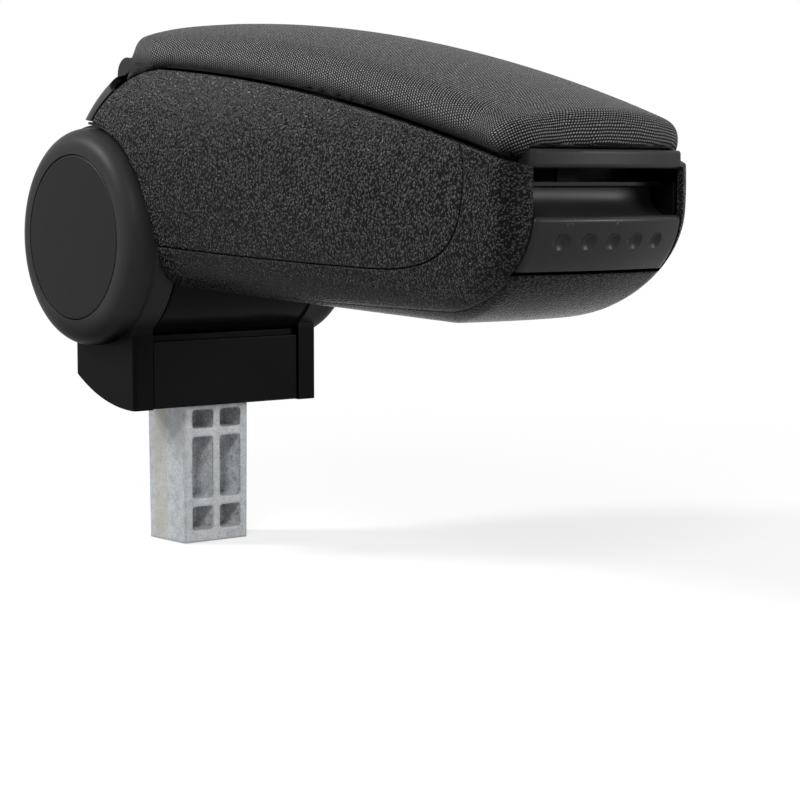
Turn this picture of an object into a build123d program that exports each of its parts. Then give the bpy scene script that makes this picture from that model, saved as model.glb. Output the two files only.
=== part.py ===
from build123d import *
import os
from math import degrees

# A car centre armrest that plugs into a console by its post. All sizes are in millimetres.
# The origin is the middle of the post's lower end, +X runs forward to the nose, +Y to the car's left, +Z up.
# Sizes named ahead, behind or above without more words are taken from the hinge axis.

# Hinge line and the two hub discs
HUB_BACK = 4.5  # hinge axis behind the post's axis
HUB_HEIGHT = 140.0  # hinge axis above the post's lower end
CHEEK_RADIUS = 50.0  # the cheeks beside the barrel
CHEEK_INNER = 40.3  # inner face of a cheek, from the middle plane
DISC_RADIUS = 48.5  # the disc that stands out from a cheek
DISC_FACE = 63.2  # outer face of a disc, from the middle plane
DISC_RIM_ROUND = 9.0
CAP_RADIUS = 36.5
CAP_THICKNESS = 2.6
CAP_GAP = 0.35
CAP_EDGE_ROUND = 0.7
SHAFT_RADIUS = 6.0
SHAFT_FIT = 0.04  # radial play of the bushes on the shaft
NUT_WIDTH = 17.0
NUT_THICKNESS = 6.0
NUT_ROOM = 1.5  # room for a socket round a nut
CHEEK_PLATE = 12.0  # cheek left under a nut
WASHER_RADIUS = 15.0
WASHER_THICKNESS = 1.2
WASHER_PLAY = 0.15

# Base block
BASE_HALF = 50.3
BASE_AHEAD = 29.2
BASE_BEHIND = 20.5
BASE_DROP = 76.5  # lowest edge, under the hinge axis
BASE_BELLY_RADIUS = 88.0  # the underside curves up towards the rear
BASE_REAR_ROUND = 3.0
BASE_FRONT_ROUND = 1.6
PANEL_THICKNESS = 2.5
PANEL_SINK = 0.5  # the front panel lies this far behind the cheek edges
PANEL_TOP = 46.0  # upper edge of the front panel, under the hinge axis
PANEL_GAP = 0.6
PANEL_EDGE_ROUND = 0.5

# Mounting post, one die casting
POST_DEPTH = 30.0
POST_WIDTH = 34.8
POST_DRAFT = 0.5  # degrees
POST_REAR_ROUND = 2.0
POST_FRONT_ROUND = 1.2
TENON_INSET = 2.5  # the tenon is this much smaller all round than the post
TENON_HEIGHT = 14.0
POST_SEAT = 11.0  # length of full post inside the base
POCKET_WIDTH = 11.4
POCKET_PITCH = 15.2
POCKET_DEPTH = 14.0
POCKET_ROUND = 1.5
POCKET_ROWS = ((5.6, 10.8), (20.3, 28.3), (52.6, 8.4))  # lower edge above the post's end, height
POST_SCREW_RADIUS = 2.5
POST_SCREW_HEAD = 4.6
POST_SCREW_HEAD_HEIGHT = 2.6
POST_SCREW_PITCH = 18.0

# Arm: outer form
ARM_NOSE = 279.0  # foremost point, ahead of the hinge axis
NOSE_BOW = 165.0  # plan radius of the nose
NOSE_ROUND = 14.0
CHIN_TOP = 15.0  # the chin starts to run back at this height
CHIN_BACK = 215.0  # and meets the belly here
CHIN_DROP = 29.5  # lowest line of the chin, under the hinge axis
HALF_REAR = 61.5  # half width at the hub
HALF_FRONT = 46.3  # half width at the nose
BULGE_REAR = 35.0  # height of the widest line at the hub
BULGE_FRONT = 22.0  # and at the nose
SIDE_RADIUS = 125.0  # round of the sides from top to bottom
BELLY_REAR = 18.0  # belly under the hinge axis at the hub
BELLY_FRONT = 33.0  # and at the nose, before the chin cuts it
BELLY_ROUND = 20.0
FORM_TOP = 98.0  # just over the cushion
FORM_BEHIND = 30.0
FORM_AHEAD = 300.0
WALL = 2.6
HUB_GAP = 2.0  # gap between the arm's rear edges and the cheeks

# Line between arm and lid, one long arc
SPLIT_RADIUS = 1060.0
SPLIT_APEX = -35.0
SPLIT_APEX_HEIGHT = 76.0
SPLIT_GAP = 0.8

# Rear cover, an arc behind the lid's hinge
REAR_RADIUS = 67.0
REAR_CENTRE = 53.5
REAR_CENTRE_HEIGHT = 15.8
COVER_GAP = 1.2
COVER_ROUND = 10.0  # where the cover turns from the rear to the flanks
FLANK_RADIUS = 50.2  # rear edge of a side panel, where the cover's flank ends
FLANK_CENTRE = 51.0
FLANK_CENTRE_HEIGHT = 22.0

# Hinge barrel and chassis
BARREL_RADIUS = 49.4
BARREL_WALL = 4.0
BARREL_BED_GAP = 1.2  # between the barrel and the base under it
BARREL_END = 6.0
BUSH_RADIUS = 10.0
BUSH_LENGTH = 12.0
BUSH_SEAT = 14.0
STRIP_HALF = 37.4  # half width of the belly strip between the side shells
SHELL_GAP = 0.3
BULKHEAD_THICKNESS = 3.0
BULKHEAD_HALF = 44.0
COVER_RIB_PITCH = 52.0  # the two ribs that the rear cover clips on

# Side panels, let into the side shells
INLAY_DEPTH = 1.6
INLAY_SEAM = 0.7
INLAY_FOOT_REAR = 0.5  # lower edge at the hub
INLAY_FOOT = 9.0  # deepest point of the lower edge, under the hinge axis
INLAY_FOOT_AHEAD = 190.0
INLAY_FOOT_SAG = 0.64  # share of the drop reached half way
INLAY_NOSE = 247.5
INLAY_NOSE_HEIGHT = 20.0
INLAY_SHOULDER = 236.0
INLAY_SHOULDER_HEIGHT = 48.0

# Storage tub
TUB_REAR = 62.0
TUB_FRONT = 238.0
TUB_WALL = 2.0
TUB_DROP = 1.6  # rim under the line between arm and lid

# Bay and release paddle in the nose
BAY_HALF = 38.6
BAY_FLOOR = 9.6  # lower edge of the opening, under the hinge axis
BEZEL_REAR = 246.6
BEZEL_FRONT = 269.5
BEZEL_WALL = 2.2
BEZEL_TOP = 24.5
BEZEL_FLOOR_FRONT = 261.5
SHELF_REAR = 254.0  # a shelf between the bezel's sides, just over the paddle
SHELF_FRONT = 262.0
SHELF_PLAY = 0.4
PADDLE_HALF = 37.6
PADDLE_BOTTOM = 8.4
PADDLE_TOP = 12.0
PADDLE_REAR = 255.6
PADDLE_WALL = 2.6
PADDLE_SINK = 0.3
PADDLE_SIDE_ROUND = 3.0
PADDLE_BROW_ROUND = 2.0
PADDLE_FOOT_ROUND = 1.2
COVE_RADIUS = 9.0
COVE_CENTRE = 267.0
COVE_TOP = 22.4
DIMPLE_RADIUS = 5.0
DIMPLE_DEPTH = 1.4
DIMPLE_PITCH = 12.2
DIMPLE_COUNT = 5
DIMPLE_HEIGHT = 1.3
STEM_RADIUS = 2.5
STEM_PITCH = 56.0
STEM_DROP = 2.0
STEM_TAIL = 243.6
STEM_PLAY = 0.35
LEAF_THICKNESS = 0.5
LEAF_HALF = 20.0
LEAF_TOP = 3.0
LEAF_BOTTOM = 5.0
LEAF_PLAY = 0.25

# Lid
LID_PLATE = 3.0
LID_INSET = 4.0  # plate edge inside the cushion's side
PIN_RADIUS = 1.5
PIN_AHEAD = 24.5
PIN_HEIGHT = 71.3
PIN_FIT = 0.05
KNUCKLE_RADIUS = 3.2
KNUCKLE_LENGTH = 14.0
KNUCKLE_WEB = 4.4
KNUCKLE_PLAY = 0.5
ROLL_RADIUS = 7.2  # round rear edge of the lid, about its pin, that closes the hinge gap
ROLL_WALL = 2.2
ROLL_SWEEP = 86.0  # degrees
ROLL_HALF = 49.0
ROLL_GAP = 0.6
LIP_BACK = 266.0
LIP_TOP = 36.3
LIP_BOTTOM = 29.4
LIP_HALF = 38.0
LIP_SINK = 0.8
LIP_ROUND = 1.4
LIP_PLAY = 0.4
CUSHION_REAR = 25.2
CUSHION_RADIUS = 740.0  # long arc of the cushion's top
CUSHION_APEX = 23.0
CUSHION_APEX_HEIGHT = 95.0
CUSHION_FALL = 7.0  # the crowned top falls this much to its sides
CUSHION_EDGE = 10.0  # round of the long top edges
CUSHION_FRONT_ROUND = 8.0
CUSHION_REAR_ROUND = 6.0
CUSHION_SINK = 0.5  # the fabric lies this far inside the arm's sides
CUSHION_SET = 2.2  # and this far behind the nose
SKIRT_INNER = 45.2  # outside this half width the fabric reaches down to the side panels' rear corners
CUSHION_FOOT = 55.0  # the pad's form reaches this far down before the lid line cuts it
CUSHION_STATIONS = 4  # cross-sections that the pad's form runs through

# Latch between lid and paddle
TONGUE_HALF = 9.0
TONGUE_TOP = 17.5
TONGUE_THICKNESS = 2.0
TONGUE_BAR = 2.6
STRIKER_HALF = 5.4
STRIKER_PLATE = 1.8
STRIKER_NOSE = 2.2
STRIKER_PLAY = 0.4
STRIKER_BITE = 0.8  # length of nose under the tongue's bar

REACH = 90.0  # longer than any half width, for cutting right through
CLOSE = 0.05  # an edge this near to a face's place belongs to it

side = Plane(origin=(-HUB_BACK, 0, HUB_HEIGHT), x_dir=(1, 0, 0), z_dir=(0, -1, 0))


def side_block(rear, front, bottom, top, half):
    """A block given by its edges in the side view and its half width."""
    with BuildPart() as block:
        with BuildSketch(side):
            with Locations(((rear + front) / 2, (bottom + top) / 2)):
                Rectangle(front - rear, top - bottom)
        extrude(amount=half, both=True)
    return block.part


def side_round(ahead, height, radius, inner=0.0, outer=REACH):
    """A round bar across the arm, from one distance to another on both sides of the middle plane."""
    with BuildPart() as bar:
        with BuildSketch(side):
            with Locations((ahead, height)):
                Circle(radius)
        extrude(amount=outer, both=True)
        if inner > 0:
            with BuildSketch(side):
                with Locations((ahead, height)):
                    Circle(radius)
            extrude(amount=inner, both=True, mode=Mode.SUBTRACT)
    return bar.part


def split_below(lift):
    """All that lies under the line between arm and lid, moved up by the lift."""
    return side_round(SPLIT_APEX, SPLIT_APEX_HEIGHT - SPLIT_RADIUS, SPLIT_RADIUS + lift)


def arm_section(ahead, half, bulge, belly, rounding):
    """One cross-section of the arm: bulged sides and a flat belly with round corners."""
    def width(height):
        return half - SIDE_RADIUS + (SIDE_RADIUS**2 - (height - bulge) ** 2) ** 0.5

    across = Plane(origin=(ahead - HUB_BACK, 0, HUB_HEIGHT), x_dir=(0, 1, 0), z_dir=(1, 0, 0))
    with BuildSketch(across) as section:
        with BuildLine():
            ThreePointArc((width(FORM_TOP), FORM_TOP), (half, bulge), (width(belly), belly))
            Line((width(belly), belly), (-width(belly), belly))
            ThreePointArc((-width(belly), belly), (-half, bulge), (-width(FORM_TOP), FORM_TOP))
            Line((-width(FORM_TOP), FORM_TOP), (width(FORM_TOP), FORM_TOP))
        make_face()
        fillet(section.vertices(), rounding)
    return section.sketch.face()


def arm_form(inset, back=0.0):
    """The arm's form, moved in by the inset: tapered body, chin and a bowed nose that may be set back."""
    tip = ARM_NOSE - inset - back
    chin_bottom = CHIN_DROP - inset
    bow_centre = ARM_NOSE - NOSE_BOW
    rounding = BELLY_ROUND - inset
    rear = arm_section(-FORM_BEHIND, HALF_REAR - inset, BULGE_REAR, inset - BELLY_REAR, rounding)
    front = arm_section(FORM_AHEAD, HALF_FRONT - inset, BULGE_FRONT, inset - BELLY_FRONT, rounding)
    with BuildPart() as nose:
        with BuildSketch(side):
            with BuildLine():
                Polyline(
                    (CHIN_BACK, -chin_bottom),
                    (bow_centre, -chin_bottom),
                    (bow_centre, FORM_TOP),
                    (tip, FORM_TOP),
                    (tip, CHIN_TOP),
                )
                EllipticalCenterArc(
                    (CHIN_BACK, CHIN_TOP),
                    tip - CHIN_BACK,
                    CHIN_TOP + chin_bottom,
                    start_angle=270,
                    arc_size=90,
                )
            make_face()
        revolve(axis=Axis((bow_centre - HUB_BACK, 0, 0), (0, 0, 1)))
    with BuildPart() as form:
        loft([rear, front])
        add(nose.part, mode=Mode.INTERSECT)
        ahead = form.edges().filter_by(lambda edge: edge.center().X > CHIN_BACK - HUB_BACK)
        beside = ahead.filter_by(lambda edge: abs(edge.center().Y) > HALF_FRONT / 2)
        upper = HUB_HEIGHT + (FORM_TOP + CHIN_TOP) / 2 + CHIN_TOP
        low = beside.filter_by(lambda edge: edge.center().Z < upper)
        fillet(low, NOSE_ROUND - inset)
    return form.part


def keep_ahead(centre, height, radius):
    """What lies inside a rear arc and everything ahead of its centre."""
    with BuildPart() as keep:
        with BuildSketch(side):
            with Locations((centre, height)):
                Circle(radius)
            with Locations((centre, 0)):
                Rectangle(FORM_AHEAD, 4 * FORM_TOP, align=(Align.MIN, Align.CENTER))
        extrude(amount=REACH, both=True)
    return keep.part


cover_relief = ROLL_RADIUS + ROLL_GAP
os.makedirs("parts", exist_ok=True)

outer_form = arm_form(0.0)
inner_form = arm_form(WALL)
arm_below = split_below(0.0)
hub_room = side_round(0, 0, CHEEK_RADIUS + HUB_GAP)
bay = side_block(BEZEL_REAR, FORM_AHEAD, -BAY_FLOOR, FORM_TOP, BAY_HALF)
rear_outside = keep_ahead(REAR_CENTRE, REAR_CENTRE_HEIGHT, REAR_RADIUS)
rear_inside = keep_ahead(REAR_CENTRE, REAR_CENTRE_HEIGHT, REAR_RADIUS - WALL)

# Mounting post: a raw die casting with three rows of pockets in its front and a tenon up into the base.
base_bottom = HUB_HEIGHT - BASE_DROP
post_height = base_bottom + POST_SEAT
tenon_middle = post_height + TENON_HEIGHT / 2
with BuildPart() as post_body:
    with BuildSketch() as post_outline:
        Rectangle(POST_DEPTH, POST_WIDTH)
        fillet(post_outline.vertices().group_by(Axis.X)[0], POST_REAR_ROUND)
        fillet(post_outline.vertices().group_by(Axis.X)[-1], POST_FRONT_ROUND)
    extrude(amount=post_height, taper=-POST_DRAFT)
    with BuildSketch(Plane.XY.offset(post_height)):
        Rectangle(POST_DEPTH - 2 * TENON_INSET, POST_WIDTH - 2 * TENON_INSET)
    extrude(amount=TENON_HEIGHT)

post_front = POST_DEPTH / 2
with BuildPart() as mounting_post:
    add(post_body.part)
    for lower, height in POCKET_ROWS:
        with BuildSketch(Plane.YZ.offset(post_front - POCKET_DEPTH)):
            with Locations((0, lower + height / 2)):
                with GridLocations(POCKET_PITCH, 1, 2, 1):
                    RectangleRounded(POCKET_WIDTH, height, POCKET_ROUND)
        extrude(amount=POST_DEPTH, mode=Mode.SUBTRACT)
    with BuildSketch(Plane.YZ):
        with Locations((0, tenon_middle)):
            with GridLocations(POST_SCREW_PITCH, 1, 2, 1):
                Circle(POST_SCREW_RADIUS)
    extrude(amount=POST_DEPTH, mode=Mode.SUBTRACT)
mounting_post.part.label = "mounting_post"
export_step(mounting_post.part, "parts/mounting_post.step")

# Stand housing: base block, two cheeks and two hub discs in one moulding, open between them for the barrel.
panel_back = BASE_AHEAD - PANEL_SINK - PANEL_THICKNESS
cap_seat = DISC_FACE - CAP_THICKNESS
nut_seat = CHEEK_INNER + CHEEK_PLATE
with BuildPart() as stand_housing:
    with BuildSketch(side):
        with BuildLine():
            Polyline((-BASE_BEHIND, 0), (BASE_AHEAD, 0), (BASE_AHEAD, -BASE_DROP))
            belly_rise = BASE_BELLY_RADIUS - (BASE_BELLY_RADIUS**2 - (BASE_AHEAD + BASE_BEHIND) ** 2) ** 0.5
            RadiusArc((BASE_AHEAD, -BASE_DROP), (-BASE_BEHIND, belly_rise - BASE_DROP), BASE_BELLY_RADIUS)
            Line((-BASE_BEHIND, belly_rise - BASE_DROP), (-BASE_BEHIND, 0))
        make_face()
    extrude(amount=BASE_HALF, both=True)
    rear_edges = stand_housing.edges().filter_by(Axis.Z).group_by(Axis.X)[0]
    fillet(rear_edges, BASE_REAR_ROUND)
    front_edges = stand_housing.edges().filter_by(Axis.Z).group_by(Axis.X)[-1]
    fillet(front_edges, BASE_FRONT_ROUND)
    with BuildSketch(side):
        Circle(CHEEK_RADIUS)
    extrude(amount=BASE_HALF, both=True)
    with BuildSketch(side):
        Circle(DISC_RADIUS)
    extrude(amount=DISC_FACE, both=True)
    rims = stand_housing.edges().filter_by(GeomType.CIRCLE).sort_by(Axis.Y)
    fillet((rims[0], rims[-1]), DISC_RIM_ROUND)
    with BuildSketch(side):
        Circle(BARREL_RADIUS + BARREL_BED_GAP)
        with Locations((0, CHEEK_RADIUS)):
            Rectangle(4 * CHEEK_RADIUS, 2 * CHEEK_RADIUS)
    extrude(amount=CHEEK_INNER, both=True, mode=Mode.SUBTRACT)
    add(side_block(panel_back, BASE_AHEAD + PANEL_GAP, -PANEL_TOP, 0, CHEEK_INNER), mode=Mode.SUBTRACT)
    add(side_round(0, 0, CAP_RADIUS + CAP_GAP, inner=cap_seat), mode=Mode.SUBTRACT)
    add(side_round(0, 0, NUT_WIDTH / 3**0.5 + NUT_ROOM, inner=nut_seat), mode=Mode.SUBTRACT)
    add(side_round(0, 0, SHAFT_RADIUS), mode=Mode.SUBTRACT)
    room_front = BASE_AHEAD + PANEL_GAP
    panel_room = side_block(panel_back, room_front, -2 * BASE_DROP, PANEL_GAP - PANEL_TOP, CHEEK_INNER)
    add(panel_room, mode=Mode.SUBTRACT)
    add(post_body.part, mode=Mode.SUBTRACT)
    with BuildSketch(Plane.YZ):
        with Locations((0, tenon_middle)):
            with GridLocations(POST_SCREW_PITCH, 1, 2, 1):
                Circle(POST_SCREW_RADIUS)
    extrude(amount=REACH, mode=Mode.SUBTRACT)
    with BuildSketch(Plane.YZ.offset(panel_back - HUB_BACK - POST_SCREW_HEAD_HEIGHT)):
        with Locations((0, tenon_middle)):
            with GridLocations(POST_SCREW_PITCH, 1, 2, 1):
                Circle(POST_SCREW_HEAD)
    extrude(amount=REACH, mode=Mode.SUBTRACT)
stand_housing.part.label = "stand_housing"
export_step(stand_housing.part, "parts/stand_housing.step")

# Base front panel: a clip-in cover over the screws that hold the post.
with BuildPart() as base_front_panel:
    panel_bottom = BASE_DROP - PANEL_GAP
    add(side_block(panel_back, BASE_AHEAD - PANEL_SINK, -panel_bottom, -PANEL_TOP, CHEEK_INNER - PANEL_GAP))
    fillet(base_front_panel.faces().sort_by(Axis.X)[-1].edges(), PANEL_EDGE_ROUND)
base_front_panel.part.label = "base_front_panel"
export_step(base_front_panel.part, "parts/base_front_panel.step")

# Post screws: two cap screws from the front into the tenon.
with BuildPart() as post_screws:
    with BuildSketch(Plane.YZ.offset(panel_back - HUB_BACK - POST_SCREW_HEAD_HEIGHT)):
        with Locations((0, tenon_middle)):
            with GridLocations(POST_SCREW_PITCH, 1, 2, 1):
                Circle(POST_SCREW_HEAD)
    extrude(amount=POST_SCREW_HEAD_HEIGHT)
    with BuildSketch(Plane.YZ):
        with Locations((0, tenon_middle)):
            with GridLocations(POST_SCREW_PITCH, 1, 2, 1):
                Circle(POST_SCREW_RADIUS)
    extrude(amount=panel_back - HUB_BACK - POST_SCREW_HEAD_HEIGHT)
post_screws.part.label = "post_screws"
export_step(post_screws.part, "parts/post_screws.step")

# Hub caps: plain discs pressed into the hub discs.
with BuildPart() as hub_cap_right:
    with BuildSketch(side.offset(cap_seat)):
        Circle(CAP_RADIUS)
    extrude(amount=CAP_THICKNESS)
    fillet(hub_cap_right.faces().sort_by(Axis.Y)[0].edges(), CAP_EDGE_ROUND)
hub_cap_right.part.label = "hub_cap_right"
export_step(hub_cap_right.part, "parts/hub_cap_right.step")

with BuildPart() as hub_cap_left:
    mirror(hub_cap_right.part, about=Plane.XZ)
hub_cap_left.part.label = "hub_cap_left"
export_step(hub_cap_left.part, "parts/hub_cap_left.step")

# Hinge shaft, its nuts, and the friction washers that make the arm stay where it is put.
with BuildPart() as hinge_shaft:
    add(side_round(0, 0, SHAFT_RADIUS, outer=nut_seat + NUT_THICKNESS))
hinge_shaft.part.label = "hinge_shaft"
export_step(hinge_shaft.part, "parts/hinge_shaft.step")

with BuildPart() as shaft_nuts:
    for face in (nut_seat, -nut_seat - NUT_THICKNESS):
        with BuildSketch(side.offset(face)):
            RegularPolygon(NUT_WIDTH / 2, 6, major_radius=False)
            Circle(SHAFT_RADIUS, mode=Mode.SUBTRACT)
        extrude(amount=NUT_THICKNESS)
shaft_nuts.part.label = "shaft_nuts"
export_step(shaft_nuts.part, "parts/shaft_nuts.step")

with BuildPart() as friction_washers:
    for face in (CHEEK_INNER - WASHER_THICKNESS, -CHEEK_INNER):
        with BuildSketch(side.offset(face)):
            Circle(WASHER_RADIUS)
            Circle(SHAFT_RADIUS, mode=Mode.SUBTRACT)
        extrude(amount=WASHER_THICKNESS)
friction_washers.part.label = "friction_washers"
export_step(friction_washers.part, "parts/friction_washers.step")

# Arm chassis: hinge barrel, belly strip and chin in one moulding, with a bulkhead that carries the lid's pin.
barrel_half = CHEEK_INNER - WASHER_THICKNESS - WASHER_PLAY
knuckle_pitch = KNUCKLE_LENGTH + KNUCKLE_PLAY
lid_knuckles = (-2 * knuckle_pitch, 0.0, 2 * knuckle_pitch)
arm_knuckles = (-knuckle_pitch, knuckle_pitch)


def knuckle_at(y, toward):
    """A hinge knuckle round the lid's pin, with a web that runs up or down from it."""
    web_side = Align.MIN if toward > 0 else Align.MAX
    play = PIN_FIT if toward > 0 else 0.0
    with BuildPart() as knuckle:
        with BuildSketch(side.offset(-y - KNUCKLE_LENGTH / 2)):
            with Locations((PIN_AHEAD, PIN_HEIGHT)):
                Circle(KNUCKLE_RADIUS)
                Rectangle(KNUCKLE_WEB, abs(toward), align=(Align.CENTER, web_side))
                Circle(PIN_RADIUS + play, mode=Mode.SUBTRACT)
        extrude(amount=KNUCKLE_LENGTH)
    return knuckle.part


with BuildPart() as arm_chassis:
    add(outer_form)
    add(inner_form, mode=Mode.SUBTRACT)
    add(side_block(0, FORM_AHEAD, -FORM_TOP, -BAY_FLOOR, STRIP_HALF), mode=Mode.INTERSECT)
    add(side_round(0, 0, BARREL_RADIUS - BARREL_WALL), mode=Mode.SUBTRACT)
    add(side_round(0, 0, BARREL_RADIUS, outer=barrel_half))
    add(side_round(0, 0, BARREL_RADIUS - BARREL_WALL, outer=barrel_half - BARREL_END), mode=Mode.SUBTRACT)
    bulkhead_rear = PIN_AHEAD - BULKHEAD_THICKNESS / 2
    bulkhead_top = PIN_HEIGHT - KNUCKLE_RADIUS - KNUCKLE_PLAY
    with BuildPart(mode=Mode.PRIVATE) as bulkhead:
        add(side_block(bulkhead_rear, bulkhead_rear + BULKHEAD_THICKNESS, 0, bulkhead_top, BULKHEAD_HALF))
        add(side_round(0, 0, CHEEK_RADIUS + HUB_GAP, inner=barrel_half), mode=Mode.SUBTRACT)
        add(side_round(0, 0, BARREL_RADIUS - BARREL_WALL), mode=Mode.SUBTRACT)
    add(bulkhead.part)
    with BuildPart(mode=Mode.PRIVATE) as cover_ribs:
        add(side_block(-FORM_BEHIND, PIN_AHEAD, 0, bulkhead_top, COVER_RIB_PITCH / 2 + WALL))
        add(side_block(-FORM_BEHIND, PIN_AHEAD, 0, bulkhead_top, COVER_RIB_PITCH / 2), mode=Mode.SUBTRACT)
        add(rear_inside, mode=Mode.INTERSECT)
        add(side_round(0, 0, BARREL_RADIUS - BARREL_WALL), mode=Mode.SUBTRACT)
        add(side_round(PIN_AHEAD, PIN_HEIGHT, cover_relief), mode=Mode.SUBTRACT)
    add(cover_ribs.part)
    for y in arm_knuckles:
        add(knuckle_at(y, -KNUCKLE_RADIUS - 2 * KNUCKLE_PLAY))
    for face in (barrel_half - BUSH_LENGTH, -barrel_half):
        with BuildSketch(side.offset(face)):
            Circle(BUSH_SEAT)
        extrude(amount=BUSH_LENGTH)
    add(side_round(0, 0, BUSH_RADIUS), mode=Mode.SUBTRACT)
arm_chassis.part.label = "arm_chassis"
export_step(arm_chassis.part, "parts/arm_chassis.step")

# Hinge bushes pressed into the ends of the barrel.
with BuildPart() as hinge_bushes:
    for face in (barrel_half - BUSH_LENGTH, -barrel_half):
        with BuildSketch(side.offset(face)):
            Circle(BUSH_RADIUS)
            Circle(SHAFT_RADIUS + SHAFT_FIT, mode=Mode.SUBTRACT)
        extrude(amount=BUSH_LENGTH)
hinge_bushes.part.label = "hinge_bushes"
export_step(hinge_bushes.part, "parts/hinge_bushes.step")

# Side panels: grained inlays that run from the hub to a round end short of the nose.
def inlay_outline(inset):
    """What lies inside a side panel's outline in the side view, moved in by the seam."""
    foot_middle = INLAY_FOOT_REAR - (INLAY_FOOT_REAR + INLAY_FOOT) * INLAY_FOOT_SAG
    with BuildPart() as block:
        with BuildSketch(side):
            with BuildLine():
                foot = ThreePointArc(
                    (0, INLAY_FOOT_REAR + inset),
                    (INLAY_FOOT_AHEAD / 2, foot_middle + inset),
                    (INLAY_FOOT_AHEAD, inset - INLAY_FOOT),
                )
                nose = Spline(
                    foot @ 1,
                    (INLAY_NOSE - inset, INLAY_NOSE_HEIGHT),
                    (INLAY_SHOULDER - inset, INLAY_SHOULDER_HEIGHT),
                    tangents=(foot % 1, (-1, 0.6)),
                )
                Polyline(
                    nose @ 1,
                    (INLAY_SHOULDER - inset, FORM_TOP),
                    (-FORM_BEHIND, FORM_TOP),
                    (-FORM_BEHIND, INLAY_FOOT_REAR + inset),
                    foot @ 0,
                )
            make_face()
        extrude(amount=REACH)
    return block.part


with BuildPart() as right_flank:
    with Locations((0, -STRIP_HALF - SHELL_GAP, 0)):
        Box(4 * FORM_AHEAD, REACH, 4 * FORM_AHEAD, align=(Align.CENTER, Align.MAX, Align.CENTER))
    add(keep_ahead(FLANK_CENTRE, FLANK_CENTRE_HEIGHT, FLANK_RADIUS), mode=Mode.INTERSECT)
    add(arm_below, mode=Mode.INTERSECT)
    add(hub_room, mode=Mode.SUBTRACT)

inlay_form = arm_form(INLAY_DEPTH)
with BuildPart() as side_shell_right:
    add(outer_form)
    add(inner_form, mode=Mode.SUBTRACT)
    add(right_flank.part, mode=Mode.INTERSECT)
    add(bay, mode=Mode.SUBTRACT)
    with BuildPart(mode=Mode.SUBTRACT):
        add(inlay_outline(0.0))
        add(inlay_form, mode=Mode.SUBTRACT)
side_shell_right.part.label = "side_shell_right"
export_step(side_shell_right.part, "parts/side_shell_right.step")

with BuildPart() as side_shell_left:
    mirror(side_shell_right.part, about=Plane.XZ)
side_shell_left.part.label = "side_shell_left"
export_step(side_shell_left.part, "parts/side_shell_left.step")

with BuildPart() as side_panel_right:
    add(inlay_outline(INLAY_SEAM))
    add(right_flank.part, mode=Mode.INTERSECT)
    add(outer_form, mode=Mode.INTERSECT)
    add(inlay_form, mode=Mode.SUBTRACT)
side_panel_right.part.label = "side_panel_right"
export_step(side_panel_right.part, "parts/side_panel_right.step")

with BuildPart() as side_panel_left:
    mirror(side_panel_right.part, about=Plane.XZ)
side_panel_left.part.label = "side_panel_left"
export_step(side_panel_left.part, "parts/side_panel_left.step")

# Rear cover: a smooth channel behind the lid's hinge, with flanks that run up to the side panels.
def rear_block(form, arc, rounding):
    """The rear end of a form behind the lid's pin, turned round from the arc to the flanks."""
    with BuildPart() as block:
        add(form)
        add(arc, mode=Mode.INTERSECT)
        add(side_block(-FORM_BEHIND, PIN_AHEAD, 0, FORM_TOP, REACH), mode=Mode.INTERSECT)
        rear = block.edges().filter_by(lambda edge: edge.length > CHEEK_RADIUS)
        fillet(rear.filter_by(lambda edge: abs(edge.center().Y) > CHEEK_INNER).group_by(Axis.X)[0], rounding)
    return block.part


with BuildPart() as rear_cover:
    add(rear_block(outer_form, rear_outside, COVER_ROUND))
    add(rear_block(inner_form, rear_inside, COVER_ROUND - WALL), mode=Mode.SUBTRACT)
    add(keep_ahead(FLANK_CENTRE, FLANK_CENTRE_HEIGHT, FLANK_RADIUS + COVER_GAP), mode=Mode.SUBTRACT)
    add(arm_below, mode=Mode.INTERSECT)
    add(hub_room, mode=Mode.SUBTRACT)
    add(side_round(PIN_AHEAD, PIN_HEIGHT, cover_relief), mode=Mode.SUBTRACT)
rear_cover.part.label = "rear_cover"
export_step(rear_cover.part, "parts/rear_cover.step")

# Storage tub: a thin tray that lies in the shells, open under the lid.
tub_form = arm_form(WALL + SHELL_GAP)
tub_hollow = arm_form(WALL + SHELL_GAP + TUB_WALL)
with BuildPart() as storage_tub:
    add(tub_form)
    add(side_block(TUB_REAR, TUB_FRONT, -FORM_TOP, FORM_TOP, REACH), mode=Mode.INTERSECT)
    with BuildPart(mode=Mode.SUBTRACT):
        add(tub_hollow)
        hollow = side_block(TUB_REAR + TUB_WALL, TUB_FRONT - TUB_WALL, -FORM_TOP, FORM_TOP, REACH)
        add(hollow, mode=Mode.INTERSECT)
    add(split_below(-TUB_DROP), mode=Mode.INTERSECT)
storage_tub.part.label = "storage_tub"
export_step(storage_tub.part, "parts/storage_tub.step")

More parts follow.
